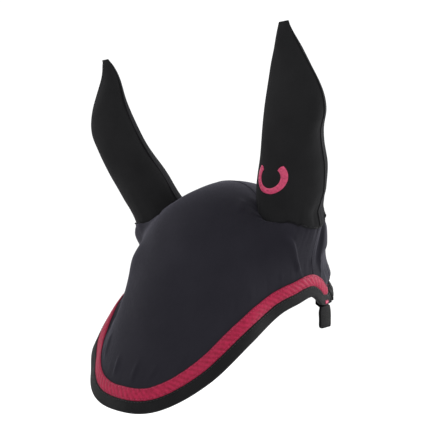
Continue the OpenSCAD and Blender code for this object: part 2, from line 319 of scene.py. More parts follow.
def foot_z(a):
    """Height of a sleeve's foot in its own frame: high inside, low outside."""
    return -2.5 - 11.5 * np.cos(np.radians(a)) ** 3


def rim_place(a, out=0.0):
    """Flat place at angle a round the left ear hole, and out from its rim."""
    radians = np.radians(a)
    return (ear_out + (hole_radius(a) + out) * np.cos(radians),
            crown_v + (hole_radius(a) + out) * np.sin(radians))


def round_hole(u, v):
    """Angle round the nearer ear hole, 0 outermost and 90 at the back, and distance from its rim."""
    a = np.degrees(np.arctan2(v - crown_v, np.abs(u) - ear_out))
    return a, np.hypot(np.abs(u) - ear_out, v - crown_v) - hole_radius(a)


def ear_lift(a, s):
    """How far the cap is drawn from its dome towards the foot of the nearer sleeve."""
    u, v = flat(a, s)
    side = np.where(u < 0, -1, 1)
    round_ear, from_ear = round_hole(u, v)
    rim = cap_point(*unflat(*rim_place(round_ear)), 0)
    draw = ear_frame(1, sleeve_point(round_ear, foot_z(round_ear), 0)) - rim
    from_hem = distance_in(a, s)
    share = (1 - np.clip(from_ear / 48, 0, 1)) ** 1.8 * smooth(24, 52, from_hem)
    mirror = np.stack([side, np.ones_like(u), np.ones_like(u)], axis=-1)
    right = np.where(u < 0, 1.0, 0.0)[..., None]
    return (draw * mirror + right * right_sag(foot_z(round_ear))) * share[..., None]


# %% [markdown]
# ## Where the cloth folds
# Even a fitted cap isn't smooth. The cloth is dragged from the foot of each ear towards the back
# corner, the elastic gathers the back hem into small pleats, the sewn braid puckers the cloth above
# it, and the ear seams pull a ring of tiny creases. A simulation would place these by chance, so
# they are laid one by one as ridges: each has two ends, a width and a height, and the rest is waves
# that fade away from the seam that causes them. Every trim is laid on this same folded surface, so
# the trims rise and fall with the cloth.

# %% Ridges, gathers and puckers
# side of the head, angle and reach at both ends, width, height
DRAG_FOLDS = [
    (1, 66, 90, 71, 124, 7.0, 2.6), (1, 67.5, 120, 78.5, 156, 2.6, 2.8),
    (1, 86.5, 139, 84, 158, 2.0, 1.3), (1, 94, 136, 94.5, 160, 2.2, 1.6),
    (1, 50, 60, 44, 80, 3.5, 1.5), (1, 100, 116, 102, 134, 8.0, 2.4),
    (1, 4, 236, 3, 258, 3.2, 1.2), (1, 12, 238, 9, 256, 2.6, 1.0), (1, 22, 222, 19, 244, 2.8, 0.8),
    (-1, 52, 78, 66, 112, 7.0, 3.0), (-1, 66, 104, 75, 150, 4.5, 2.4), (-1, 86, 132, 87, 162, 3.2, 2.0),
    (-1, 96, 122, 94, 160, 3.6, 2.2), (-1, 7, 236, 6, 254, 3.0, 1.4), (-1, 30, 190, 26, 214, 3.6, 1.6),
    (-1, 20, 220, 17, 240, 3.0, 1.4), (-1, 48, 62, 42, 84, 3.5, 1.4),
]


def ridge(u, v, side, a0, s0, a1, s1, width, height):
    """Fold along a line, steeper behind it than in front."""
    u0, v0 = flat(side * a0, s0)
    u1, v1 = flat(side * a1, s1)
    du, dv = u1 - u0, v1 - v0
    length = math.hypot(du, dv)
    along = ((u - u0) * du + (v - v0) * dv) / length ** 2
    across = side * ((u - u0) * dv - (v - v0) * du) / length
    width = width * np.where(across > 0, 1.5, 0.7)
    ends = smooth(-0.2, 0.25, along) * (1 - smooth(0.8, 1.15, along))
    return height * ends * np.exp(-(across / width) ** 2)


def bell(x, middle, width):
    """1 at the middle, falling away evenly on both sides of it."""
    return np.exp(-((x - middle) / width) ** 2)


def right_slump(a, s, from_hem):
    """The right side is full at the brow and the hem, and pulled in between them and at the nose."""
    a = np.mod(a + 180, 360) - 180
    hem = np.maximum(from_hem, 0)
    before_nose = 1 - smooth(-34, -22, a)
    at_hem = 2.8 * smooth(-56, -46, a) * (1 - smooth(-34, -24, a)) * bell(hem, 0, 24)
    between = 9.0 * smooth(-74, -60, a) * before_nose * bell(from_hem, 38, 17)
    nose = 2.2 * (1 - before_nose) * (1 - smooth(-6, 6, a)) * bell(hem, 0, 30)
    brow = 4.4 * bell(a, -38, 13) * bell(s, 143, 20)
    temple = 5.0 * bell(a, -70, 12) * bell(s, 128, 16)
    return at_hem - between - nose + brow + temple


def folds(a, s):
    """Height of all folds over the fitted cloth, at angle a and reach s."""
    u, v = flat(a, s)
    from_hem = distance_in(a, s)
    arc = np.radians(a) * dome_r
    back = smooth(82, 106, sides(a))
    round_ear, from_ear = round_hole(u, v)
    slack = 0.9 * wander(u / 23 + v / 41) * wander(v / 29 + 2) * smooth(5, 60, from_hem)
    pleats = 1.25 * back * wander(arc / 1.9) * np.exp(-np.maximum(from_hem, 0) / 24)
    pinch = (3.4 * smooth(86, 108, sides(a)) * bell(from_hem, 38, 14)
             + 5.5 * smooth(98, 110, sides(a)) * bell(from_hem, 13, 6))
    above_braid = bell(from_hem, binding_w + braid_w + 5, 6.5)
    puckers = 0.45 * (1 - back) * wander(np.degrees(arc) / 95) * above_braid
    creased = 0.7 * wander(np.radians(round_ear) * 13) * np.exp(-np.maximum(from_ear, 0) / 9)
    height = slack + pleats - pinch + puckers + creased
    for fold in DRAG_FOLDS:
        height = height + ridge(u, v, *fold)
    under_trim = (1 - smooth(100, 106, sides(a))) * (1 - smooth(24, 32, from_hem))
    return height * (1 - 0.8 * under_trim) + right_slump(a, s, from_hem)


def surface(a, s, h):
    """Place on the folded cap, h over the inner face of the cloth."""
    return cap_point(a, s, h + folds(a, s)) + ear_lift(a, s)


def hem_surface(a, d, h):
    """Place d inside the hem on the folded cap."""
    return surface(*hem_place(a, d), h)


sample = folds(*np.meshgrid(np.arange(-180, 180, 3.0), np.arange(60, 160, 4.0)))
print("folds stand from", round(sample.min(), 1), "to", round(sample.max(), 1), "mm over the fit")

# %% [markdown]
# ## From a grid of places to a piece of cloth
# A sheet of cloth is a grid of points with a wall. The helper below turns rows of places into
# faces, keeps each point's place on the flat pattern as its UV in metres, so a weave printed on it
# has the right scale all over, and then gives it thickness with Solidify. The wall goes inwards,
# so the outer face stays where the formula put it. Each modifier is applied at once.

# %% Helpers that make meshes
def only(obj):
    """Select one object and nothing else."""
    bpy.ops.object.select_all(action="DESELECT")
    obj.select_set(True)
    bpy.context.view_layer.objects.active = obj
    return obj


def apply_modifier(obj, kind, **settings):
    modifier = only(obj).modifiers.new(kind.lower(), kind)
    for name, value in settings.items():
        setattr(modifier, name, value)
    bpy.ops.object.modifier_apply(modifier=modifier.name)
    return obj


def finish_edges(obj, angle=50):
    """Smooth shading, with edges sharper than the angle kept crisp."""
    only(obj)
    bpy.ops.object.shade_smooth_by_angle(angle=math.radians(angle))
    return obj


def uv_grid(along, across):
    """Flat place of each point of a grid, from its rows' and its columns' distances."""
    return np.stack(np.meshgrid(along, across, indexing="ij"), axis=-1)


def set_tone(mesh, values):
    """Keep a number from 0 to 1 on every point, for the materials to read."""
    tone = mesh.attributes.new("tone", "FLOAT", "POINT")
    tone.data.foreach_set("value", np.ravel(values).astype(np.float32))


def add_piece(name, mesh):
    obj = bpy.data.objects.new(name, mesh)
    bpy.context.scene.collection.objects.link(obj)
    return obj


def grid_piece(name, places, uv, wrap=False, turn=False, tone=None):
    """Mesh from a grid of places in mm. wrap joins its last column to its first."""
    rows, columns = places.shape[:2]
    mesh = bpy.data.meshes.new(name)
    steps = columns if wrap else columns - 1
    i, j = np.meshgrid(np.arange(rows - 1), np.arange(steps), indexing="ij")
    k = (j + 1) % columns
    quads = np.stack([i * columns + j, i * columns + k, (i + 1) * columns + k,
                      (i + 1) * columns + j], axis=-1).reshape(-1, 4)
    if turn:
        quads = quads[:, ::-1]
    mesh.from_pydata((places.reshape(-1, 3) * MM).tolist(), [], quads.tolist())
    corner_u = np.stack([j, j + 1, j + 1, j], axis=-1)
    corner_v = np.stack([i, i, i + 1, i + 1], axis=-1)
    if turn:
        corner_u, corner_v = corner_u[..., ::-1], corner_v[..., ::-1]
    if wrap:
        uv = np.concatenate([uv, uv[:, :1] + (uv[:, -1:] - uv[:, :1]) * columns / steps], axis=1)
    layer = mesh.uv_layers.new(name="UVMap")
    layer.data.foreach_set("uv", (uv[corner_v, corner_u] * MM).reshape(-1).astype(np.float32))
    if tone is not None:
        set_tone(mesh, tone)
    return add_piece(name, mesh)


def cloth_wall(obj, thickness):
    """Give a sheet its thickness inwards, from the face that the grid made."""
    return finish_edges(apply_modifier(obj, "SOLIDIFY", thickness=thickness * MM, offset=-1))


def strip(name, a, profile, tone=None):
    """Band along the hem: profile is a list of (distance inside the hem, height) arrays."""
    places = np.stack([hem_surface(a, d, h) for d, h in profile], axis=1)
    round_it = distance_along(np.array([[np.mean(d), np.mean(h)] for d, h in profile]))
    uv = uv_grid(distance_along(places.mean(axis=1)), round_it)
    return grid_piece(name, places, uv, wrap=True, turn=True, tone=tone)


def close_ends(obj):
    """Fill the two open ends of a tube-like piece and point all its faces outwards."""
    mesh = bmesh.new()
    mesh.from_mesh(obj.data)
    bmesh.ops.holes_fill(mesh, edges=[e for e in mesh.edges if e.is_boundary])
    bmesh.ops.recalc_face_normals(mesh, faces=mesh.faces)
    mesh.to_mesh(obj.data)
    mesh.free()
    return obj


def report(obj):
    edges = bmesh.new()
    edges.from_mesh(obj.data)
    print(obj.name, len(obj.data.polygons), "faces,", round(edges.calc_volume(signed=True) * 1e6, 2),
          "cm3,", sum(e.is_boundary for e in edges.edges), "open edges")
    edges.free()
    return obj


# %% [markdown]
# ## Materials
# Nothing on a veil is one flat colour. The cap is a close navy-black drill with a faint twill line,
# the ears are stretch jersey with fine upright ribs, the bindings are ribbed tape with a soft
# gloss, and the braid and embroidery are satin thread. The twill, the ribs and the fold crests of
# the cap get a painted highlight, the back halves of the ears are a paler copy of the jersey for
# the light they catch, and the satin thread is painted deep pink in the grooves, a painted shade,
# and bright pink on the crests, a painted highlight. Each finish is built from waves and noise on
# the piece's own flat pattern, so it follows the cloth, plus a larger noise for washed and dusty
# patches. Sheen gives dark cloth its pale edge, where the fibres catch the light.

# %% Node helpers
def add(material, kind, inputs=None, **settings):
    node = material.node_tree.nodes.new("ShaderNode" + kind)
    for name, value in settings.items():
        setattr(node, name, value)
    for name, value in (inputs or {}).items():
        if isinstance(value, bpy.types.NodeSocket):
            material.node_tree.links.new(value, node.inputs[name])
        else:
            node.inputs[name].default_value = value
    return node


def finish_material(name, roughness, sheen=0.0, sheen_roughness=0.5, sheen_tint=(1, 1, 1), gloss=0.3):
    material = bpy.data.materials.new(name)
    material.use_nodes = True
    shader = material.node_tree.nodes["Principled BSDF"]
    for socket, value in (("Roughness", roughness), ("Sheen Weight", sheen),
                          ("Sheen Roughness", sheen_roughness), ("Sheen Tint", (*sheen_tint, 1)),
                          ("Specular IOR Level", gloss)):
        shader.inputs[socket].default_value = value
    return material, shader


def wave(material, period, direction="X", distortion=0.0):
    """Stripes on the flat pattern, with the period in mm."""
    pattern = add(material, "UVMap", uv_map="UVMap")
    inputs = {"Vector": pattern.outputs["UV"], "Scale": math.tau / 20 / (period * MM),
              "Distortion": distortion, "Detail": 1.0}
    return add(material, "TexWave", inputs, bands_direction=direction).outputs["Fac"]


def patches(material, size, detail=3.0):
    """Soft uneven patches of about that size in mm, fixed to the object."""
    place = add(material, "TexCoord")
    return add(material, "TexNoise", {"Vector": place.outputs["Object"], "Scale": 1 / (size * MM),
                                      "Detail": detail}).outputs["Fac"]


def blend_colour(material, factor, low, high):
    """Colour between two others, by a factor from 0 to 1."""
    ramp = add(material, "ValToRGB", {"Fac": factor})
    ramp.color_ramp.elements[0].color = (*low, 1)
    ramp.color_ramp.elements[1].color = (*high, 1)
    ramp.color_ramp.elements[0].position = 0.25
    ramp.color_ramp.elements[1].position = 0.75
    return ramp.outputs["Color"]


def mixed(material, factor, low, high):
    """Mix of two colours, which a Mix node takes at its sockets 6 and 7 and gives at 2."""
    mix = add(material, "Mix", data_type="RGBA")
    for place, value in ((0, factor), (6, low), (7, high)):
        if isinstance(value, bpy.types.NodeSocket):
            material.node_tree.links.new(value, mix.inputs[place])
        else:
            mix.inputs[place].default_value = value if isinstance(value, float) else (*value, 1)
    return mix.outputs[2]


def raise_bumps(material, shader, *layers):
    """Bumps from (height, depth in mm) layers, each on top of the last."""
    normal = None
    for height, depth in layers:
        bump = add(material, "Bump", {"Height": height, "Distance": depth * MM, "Strength": 1.0})
        if normal is not None:
            material.node_tree.links.new(normal, bump.inputs["Normal"])
        normal = bump.outputs["Normal"]
    material.node_tree.links.new(normal, shader.inputs["Normal"])


def colour_from(material, shader, colour):
    material.node_tree.links.new(colour, shader.inputs["Base Color"])


def crest_of(material):
    """How high a point stands in its relief, as the mesh keeps it in the attribute tone; the finishes
    paint highlight on the crests and shade in the grooves from it.
    """
    return add(material, "Attribute", attribute_name="tone").outputs["Fac"]


# %% Cloth for the cap and the ears
def drill_cloth(name, dark, light, sheen):
    """Close twill: slanting wale, a crossing thread, washed patches, with a painted highlight along the
    wale and on the fold crests.
    """
    material, shader = finish_material(name, 0.85, sheen, 0.35, (0.80, 0.78, 1.0), 0.10)
    wale = wave(material, 1.1, "DIAGONAL", 0.6)
    thread = wave(material, 0.6, "X", 0.3)
    base = blend_colour(material, patches(material, 45), dark, light)
    # painted highlight along the twill: the raised wale is coloured paler, in step with its bump
    twill_highlight = mixed(material, 0.12, base, blend_colour(material, wale, dark, light))
    # painted highlight: the fold crests are lightened towards this paler colour, by the relief kept in
    # tone
    pale = tuple(1.8 * c for c in light)
    colour_from(material, shader, mixed(material, crest_of(material), twill_highlight, pale))
    raise_bumps(material, shader, (wale, 0.07), (thread, 0.03), (patches(material, 6, 2.0), 0.18))
    return material


def jersey_cloth(name, dark, light, sheen):
    """Stretch jersey: fine upright ribs and a very faint crossing row."""
    material, shader = finish_material(name, 0.92, sheen, 0.4, (0.85, 0.85, 0.95), 0.08)
    rib = wave(material, 0.9, "X", 0.2)
    row = wave(material, 0.7, "Y", 0.2)
    base = blend_colour(material, patches(material, 30), dark, light)
    # painted highlight on the ribs: paler where their bump stands highest
    ribbed = blend_colour(material, rib, dark, light)
    colour_from(material, shader, mixed(material, 0.15, base, ribbed))
    raise_bumps(material, shader, (rib, 0.06), (row, 0.03), (patches(material, 7, 2.0), 0.15))
    return material


cap_cloth = drill_cloth("cap_drill", (0.0085, 0.0080, 0.0118), (0.0125, 0.0118, 0.0165), 0.10)
ear_cloth = jersey_cloth("ear_jersey", (0.0075, 0.0075, 0.0080), (0.0105, 0.0105, 0.0112), 0.015)
# painted highlight: the back halves of the ears get a paler copy of the front jersey, for the light
# they catch
ear_back_lit_cloth = jersey_cloth(
    "ear_back_lit_jersey", (0.0085, 0.0085, 0.0094), (0.0125, 0.0125, 0.0138), 0.02)


# %% Tape, elastic, braid and thread
def ribbed_tape(name, dark, light, rib_mm, gloss, sheen=0.02):
    """Woven tape with ribs straight across it, with a painted highlight on the ribs and worn patches.
    """
    material, shader = finish_material(name, 0.55, sheen, 0.4, (0.9, 0.95, 0.9), gloss)
    rib = wave(material, rib_mm, "X", 0.15)
    # painted highlight on the ribs: paler where their bump stands highest
    base = blend_colour(material, rib, dark, light)
    worn = blend_colour(material, patches(material, 18), dark, light)
    colour_from(material, shader, mixed(material, 0.5, base, worn))
    raise_bumps(material, shader, (rib, 0.12), (wave(material, 0.5, "Y", 0.4), 0.03))
    return material


def satin_thread(name, deep, bright, thread_mm, gloss, direction="X", sheen=0.0):
    """Satin thread: painted shade deep in the grooves and painted highlight bright on the crests, from
    the relief kept in tone, with fine lines along it.
    """
    material, shader = finish_material(name, 0.45, sheen, 0.35, (1.0, 0.75, 0.85), gloss)
    lines = wave(material, thread_mm, direction, 0.3)
    # painted shade in the grooves and painted highlight on the crests, read from the relief
    base = mixed(material, crest_of(material), deep, bright)
    darkest = tuple(0.75 * c for c in deep)
    mottle = blend_colour(material, patches(material, 2.4, 1.0), darkest, bright)
    colour_from(material, shader, mixed(material, 0.40, base, mottle))
    raise_bumps(material, shader, (lines, 0.05))
    return material


binding_tape = ribbed_tape(
    "binding_tape", (0.0028, 0.0029, 0.0033), (0.0076, 0.0076, 0.0084), 1.3, 0.07, sheen=0.0)
tab_webbing = ribbed_tape(
    "tab_webbing", (0.0012, 0.0012, 0.0014), (0.0032, 0.0031, 0.0036), 1.6, 0.05, sheen=0.0)
seam_tape = ribbed_tape(
    "seam_tape", (0.0030, 0.0030, 0.0036), (0.0070, 0.0068, 0.0080), 0.9, 0.05)
elastic_web = ribbed_tape("elastic_web", (0.50, 0.48, 0.44), (0.74, 0.72, 0.67), 1.0, 0.3)
braid_satin = satin_thread(
    "braid_satin", (0.16, 0.004, 0.020), (0.36, 0.014, 0.056), 0.5, 0.11, "DIAGONAL", sheen=0.03)
pink_thread = satin_thread(
    "pink_thread", (0.16, 0.008, 0.028), (0.36, 0.028, 0.075), 0.3, 0.15, sheen=0.04)
embroidery_satin = satin_thread(
    "embroidery_satin", (0.24, 0.014, 0.048), (0.52, 0.055, 0.135), 0.4, 0.3, sheen=0.05)
dark_thread = satin_thread(
    "dark_thread", (0.005, 0.005, 0.006), (0.012, 0.012, 0.013), 0.3, 0.2, sheen=0.0)
print("finishes:", [m.name for m in bpy.data.materials])


def dress(obj, material, body="root", instead_of=()):
    """Material, slot, body and the frame nodes that the piece stands for."""
    obj.data.materials.clear()
    obj.data.materials.append(material)
    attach(obj, body)
    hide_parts(*instead_of)
    return report(obj)


# %% [markdown]
# ## The two panels of the cap
# The cap is cut in a front and a rear panel, joined by a seam over the crown that runs into the ear
# holes. One way to make a panel is to drape a flat sheet and cut it; another is to weave its grid
# straight between its two edges. The second is chosen, because both edges are known: the seam, with
# its half circles round the ears, and the hem. The panels share the seam line, so they meet.

# %% Edges of a panel
seam_angle = math.degrees(math.atan2(side_reach, -crown_v))


def crown_edge(k, back):
    """Along the crown seam and round the ear holes; k from -1 to 1, back is 1 or -1."""
    straight = ear_out - ear_hole_r
    way = np.abs(k) * (straight + math.pi * ear_hole_r)
    turn = (way - straight) / ear_hole_r
    side = np.where(k < 0, -1, 1)
    on_seam = way < straight
    rim = hole_radius(180 - np.degrees(turn))
    u = np.where(on_seam, way, ear_out - rim * np.cos(turn))
    v = np.where(on_seam, crown_v, crown_v + back * rim * np.sin(turn))
    return side * u, v


def panel(name, back, columns, rows, node):
    k, t = np.meshgrid(np.linspace(-1, 1, columns + 1), np.linspace(0, 1, rows + 1))
    top_u, top_v = crown_edge(k, back)
    a = k * seam_angle if back < 0 else 180 - k * (180 - seam_angle)
    hem_u, hem_v = flat(a, reach(a))
    u, v = top_u * (1 - t) + hem_u * t, top_v * (1 - t) + hem_v * t
    angle, s = unflat(u, v)
    # painted highlight on the fold crests: how far a fold stands above 1.6 mm, for the finish to paint
    # paler
    crest = np.clip(folds(angle, s) - 1.6, 0, 2.5) / 2.5 * 0.3
    places = surface(angle, s, cloth_t)
    obj = grid_piece(name, places, np.stack([u, v], axis=-1), turn=back < 0, tone=crest)
    cloth_wall(obj, cloth_t)
    return dress(obj, cap_cloth, instead_of=[node])


front_cloth = panel("front_cloth", -1, 260, 84, "front_panel")
rear_cloth = panel("rear_cloth", 1, 260, 64, "rear_panel")

# %% [markdown]
# ## Bindings and the elastic
# A binding is a ribbed tape folded over the raw edge. Its section is a flat U with a round fold,
# and it is swept along the hem with the cloth's own ripples. The rear binding is roomier inside,
# because it holds the off-white elastic that draws the back of the cap up. A bevelled curve would
# be quicker, but it could not follow the folds on one side and stay flat on the other.

# %% Folded tape round the hem
def folded_profile(room, tape_t=0.9, lay=0.5):
    """Section of a folded tape: up the outside, round the fold and back up the inside."""
    out, deep = cloth_t + lay + tape_t, -room - tape_t
    middle, half = (out + deep) / 2, (out - deep) / 2
    fold = [(-0.4 - 1.3 * math.sin(q), middle + half * math.cos(q))
            for q in np.linspace(0, math.pi, 9)]
    return ([(binding_w, cloth_t + lay), (binding_w + 0.1, out - 0.4), (binding_w - 0.5, out)]
            + [(share * binding_w, out + 0.1) for share in (0.75, 0.5, 0.25)] + fold
            + [(2.5, deep), (6, deep), (binding_w - 0.3, deep), (binding_w, -room)]
            + [(5, -room), (0, -room + 0.05), (0, cloth_t + lay - 0.05), (5, cloth_t + lay)])


def binding(name, start, end, steps, room, node, frill=0.0):
    a = np.linspace(start, end, steps + 1)
    ruffle = frill * wander(np.radians(a) * dome_r / 1.35)
    profile = [(np.full_like(a, d) + ruffle * 0.5, h + ruffle * smooth(-2, 6, binding_w - d))
               for d, h in folded_profile(room)]
    obj = close_ends(strip(name, a, profile))
    return dress(finish_edges(obj, 40), binding_tape, instead_of=[node])


front_binding = binding("front_binding_tape", -corner_angle, corner_angle, 520, 0.5, "front_binding")
rear_binding = binding("rear_binding_tape", corner_angle + 0.4, 359.6 - corner_angle, 420, 2.0,
                       "rear_binding", frill=0.5)

# %% The elastic in the rear binding
a = np.linspace(corner_angle + 3, 357 - corner_angle, 321)
web = [(8, -1.65), (5, -1.75), (2, -1.65), (2, -0.65), (5, -0.6), (8, -0.65)]
rear_elastic = close_ends(strip("back_elastic", a, [(np.full_like(a, d), h + 0 * a) for d, h in web]))
dress(finish_edges(rear_elastic), elastic_web, instead_of=["rear_elastic"])

# %% [markdown]
# ## The pink braid
# The braid is the one bright thing on the veil: a flat plait about 10 mm wide whose strands cross it
# on the slant. Hundreds of separate strands would be slow and a bump map would look flat from the
# side, so the strands are real relief: one strip whose height rises and falls with slanting ribs,
# with each edge scalloped by the strands that turn back there. The height is kept on the mesh as an
# attribute, and the finish reads it to paint shade in the grooves and highlight on the strands.

# %% Ribs across a strip
rib_pitch = 1.9
braid_out = binding_w + 0.2


def braid_height(along, share):
    """Relief of the plait: 0 in the grooves to 1 on the strands; share runs 0 to 1 across."""
    uneven = 0.35 * wander(along / 5.3 + 4 * share)
    slant = along - 0.9 * braid_w * share + uneven
    other = along + 0.9 * braid_w * share + uneven
    rib = np.abs(np.sin(np.pi * slant / rib_pitch)) ** 0.6
    over = 0.62 + 0.38 * np.cos(math.tau * other / (3 * rib_pitch))
    return rib * over * np.sin(np.pi * np.clip(share, 0.02, 0.98)) ** 0.25


braid_end = corner_angle + 4
a = np.linspace(-braid_end, braid_end, 2801)
middle = hem_surface(a, braid_out + braid_w / 2, cloth_t)
along = distance_along(middle)
shares = np.linspace(0, 1, 13)
top = [braid_height(along, share) for share in shares]
scallop = 0.25 * np.abs(np.sin(np.pi * along / rib_pitch)) + 0.15 * wander(along / 6)
narrow = 1 - 0.35 * smooth(corner_angle - 8, corner_angle + 4, np.abs(a))
crown = [cloth_t + 0.8 + 0.7 * math.sin(math.pi * share) ** 0.5 for share in shares]
profile = [(braid_out + (braid_w * share + scallop * (2 * share - 1)) * narrow, c + 0.5 * t)
           for share, c, t in zip(shares, crown, top)]
under = [(braid_out + braid_w * share * narrow, cloth_t + 0.45 + 0 * a) for share in (1, 0.5, 0)]
# painted shade and highlight: the strands' relief, darker in the grooves and on the underside
tone = np.stack(top + [0.2 * top[0]] * 3, axis=1)
hem_braid = strip("pink_braid", a, profile + under, tone=tone)
dress(finish_edges(close_ends(hem_braid), 60), braid_satin, instead_of=["hem_braid"])
print("braid length", round(along[-1]), "mm,", round(along[-1] / rib_pitch), "ribs")

# %% [markdown]
# ## Stitches
# Every trim is held by a row of stitches. One stitch is modelled from a small ball, pulled
# long and dipped at its ends, and the row is copies of it laid along the hem at a sewing machine's
# pitch. Each row is one piece with its own mesh, since a real row is one thread.

# %% One stitch, then rows of it
def one_stitch(length, radius):
    """A short low stitch along X, made from a ball whose ends are pulled down."""
    bpy.ops.object.select_all(action="DESELECT")
    bpy.ops.mesh.primitive_uv_sphere_add(segments=6, ring_count=5, radius=radius * MM,
                                         rotation=(0, math.pi / 2, 0))
    ball = bpy.context.object
    bpy.ops.object.transform_apply(rotation=True)
    bpy.ops.object.mode_set(mode="EDIT")
    bpy.ops.mesh.select_all(action="SELECT")
    bpy.ops.transform.resize(value=(length / 2 / radius, 1, 0.8), center_override=(0, 0, 0))
    bpy.ops.object.mode_set(mode="OBJECT")
    for vertex in ball.data.vertices:
        vertex.co.z -= 0.5 * radius * MM * (2 * vertex.co.x / (length * MM)) ** 2
    places = np.array([v.co for v in ball.data.vertices]) / MM
    faces = [list(p.vertices) for p in ball.data.polygons]
    bpy.data.objects.remove(ball)
    return places, faces


def row_of(name, shape, spots, ways, outs):
    """Copies of a stitch at the spots, along ways, standing outs; one mesh for the whole row."""
    places, faces = shape
    ways = ways / np.linalg.norm(ways, axis=1, keepdims=True)
    across = np.cross(outs, ways)
    across /= np.linalg.norm(across, axis=1, keepdims=True)
    ups = np.cross(ways, across)
    copies = (spots[:, None] + places[None, :, 0:1] * ways[:, None]
              + places[None, :, 1:2] * across[:, None] + places[None, :, 2:3] * ups[:, None])
    mesh = bpy.data.meshes.new(name)
    count = len(places)
    mesh.from_pydata((copies.reshape(-1, 3) * MM).tolist(), [],
                     [[v + k * count for v in f] for k in range(len(spots)) for f in faces])
    layer = mesh.uv_layers.new(name="UVMap")
    corners = np.array([c for p in mesh.polygons for c in p.vertices])
    layer.data.foreach_set("uv", (np.tile(places[:, :2], (len(spots), 1))[corners] * MM)
                           .reshape(-1).astype(np.float32))
    # painted highlight on the top of each stitch and painted shade on its underside
    set_tone(mesh, np.tile(smooth(-0.4, 0.4, places[:, 2]), len(spots)))
    return finish_edges(add_piece(name, mesh), 80)


def even_angles(start, end, pitch, d):
    """Angles at which stitches of that pitch fall along the hem."""
    fine = np.linspace(start, end, 4000)
    line = hem_surface(fine, d, cloth_t)
    length = distance_along(line)
    return np.interp(np.arange(pitch / 2, length[-1], pitch), length, fine)


def hem_row(name, d, h, start, end, pitch, material, nodes):
    a = even_angles(start, end, pitch, d)
    spots = hem_surface(a, d, h)
    ways = hem_surface(a + 0.4, d, h) - hem_surface(a - 0.4, d, h)
    outs = hem_surface(a, d, h + 1) - spots
    obj = row_of(name, one_stitch(pitch * 0.78, 0.36), spots, ways, outs)
    return dress(obj, material, instead_of=nodes)


braid_pitch, binding_pitch = 3.0, 3.2
upper_row, lower_row = (
    hem_row("braid_stitches_" + word, braid_out + place, cloth_t + 1.6, -corner_angle - 1,
            corner_angle + 1, braid_pitch, pink_thread, ["braid_stitch_" + word])
    for word, place in (("upper", braid_w - 1.1), ("lower", 1.1)))
binding_row = hem_row("binding_stitches", binding_w - 1.4, cloth_t + 1.7, -180, 179.5, binding_pitch,
                      dark_thread, ["binding_stitch"])

# %% [markdown]
# ## Seams on the cap
# The crown seam joins the panels between the ears, and a short seam runs from each ear hole down to
# the braid. On the outside such a seam is a low felled ridge with a row of stitches on each side.
# The ridge is a strip laid on the folded cloth.

# %% Felled ridges
def felled_seam(name, u0, u1, steps, nodes):
    u = np.linspace(u0, u1, steps + 1)
    section = [(-2.2, 0.1), (-1.9, 0.35), (-0.4, 0.5), (0.0, 0.15), (0.4, 0.4), (1.9, 0.3), (2.2, 0.1),
               (0, -0.2)]
    places = np.stack([surface(*unflat(u, crown_v + d), cloth_t + h) for d, h in section], axis=1)
    uv = uv_grid(u, [d for d, h in section])
    obj = close_ends(grid_piece(name, places, uv, wrap=True))
    return dress(finish_edges(obj, 60), cap_cloth, instead_of=nodes)


crown_end = ear_out - ear_hole_r - 1.5
side_start, side_end = ear_out + hole_radius(0) + 1.5, side_reach - binding_w - braid_w - 0.5
crown_ridge = felled_seam("crown_ridge", -crown_end, crown_end, 80, ["crown_seam"])
left_ridge = felled_seam("left_side_ridge", side_start, side_end, 16, ["left_side_seam"])
right_ridge = felled_seam("right_side_ridge", -side_end, -side_start, 16, ["right_side_seam"])

# %% [markdown]
# ## The ears
# Each ear is a sleeve of two halves, front and back, sewn together along both edges and to the hole
# in the cap. A cone bent with a lattice would come close, but the seams need exact edges, so each
# half is again a grid on the sleeve's own surface, from the foot that the cap already rises to, up
# to a flat sewn tip.

# %% From the hole to the tip
SIDES = ((1, "left"), (-1, "right"))
ear_t = 1.2


def hole_place(side, a, out, h):
    """Place round an ear hole, out from its rim on the folded cap; a = 0 is outermost."""
    u, v = rim_place(a, out)
    return surface(*unflat(side * u, v), h)


def creases(a, z, side):
    """Small folds of a sleeve: gathers at the foot, drag lines and a few dents above."""
    over_foot = z - foot_z(a)
    gathers = 0.9 * wander(a / 5.2 + side) * smooth(0, 6, over_foot) * np.exp(-over_foot / 14)
    soft = 0.8 * wander(a / 31 + z / 27 + side) * smooth(5, 40, z) * smooth(181, 150, z)
    return gathers + soft


def ear_point(side, a, t, h):
    """Place on an ear: t = 0 at the hole, 1 at the tip, h over the inner face of its cloth."""
    low = foot_z(a) - 1.0
    z = low + (sleeve_l - low) * np.asarray(t, float)
    return ear_frame(side, sleeve_point(a, z, h + creases(a, z, side)))


# %% Both halves of both ears
def dress_ear(obj, material, instead_of):
    """Material for the piece, its mesh kept where it stands, and the frame nodes that it stands for
    hidden.
    """
    obj.data.materials.append(material)
    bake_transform(obj)
    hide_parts(*instead_of)
    return report(obj)


def ear_half(name, side, back, instead_of, material):
    columns, rows = 48, 96
    t, j = np.meshgrid(np.linspace(0, 1, rows + 1) ** 1.15, np.linspace(0, 180, columns + 1),
                       indexing="ij")
    a = j * back
    places = ear_point(side, a, t, ear_t)
    width = sleeve_w * track(SLEEVE_WIDTH, np.clip(t, 0, 1)) * np.radians(a)
    uv = np.stack([width * side, t * (sleeve_l + 40)], axis=-1)
    obj = grid_piece(name, places, uv, turn=side * back < 0, tone=0 * t)
    return dress_ear(cloth_wall(obj, ear_t), material, instead_of)


for side, word in SIDES:
    ear_half(word + "_ear_front_cloth", side, -1,
                                   [word + "_ear_front", word + "_ear_base"], ear_cloth)
    ear_half(word + "_ear_back_lit_cloth", side, 1,
                                  [word + "_ear_back"], ear_back_lit_cloth)

# %% [markdown]
# ## Seams on the ears
# The two halves meet in a narrow welt down each edge, and a thicker welt hides the join with the
# cap. Each is a thin tube swept along the seam, a little flattened, with the cloth's ripples in it.

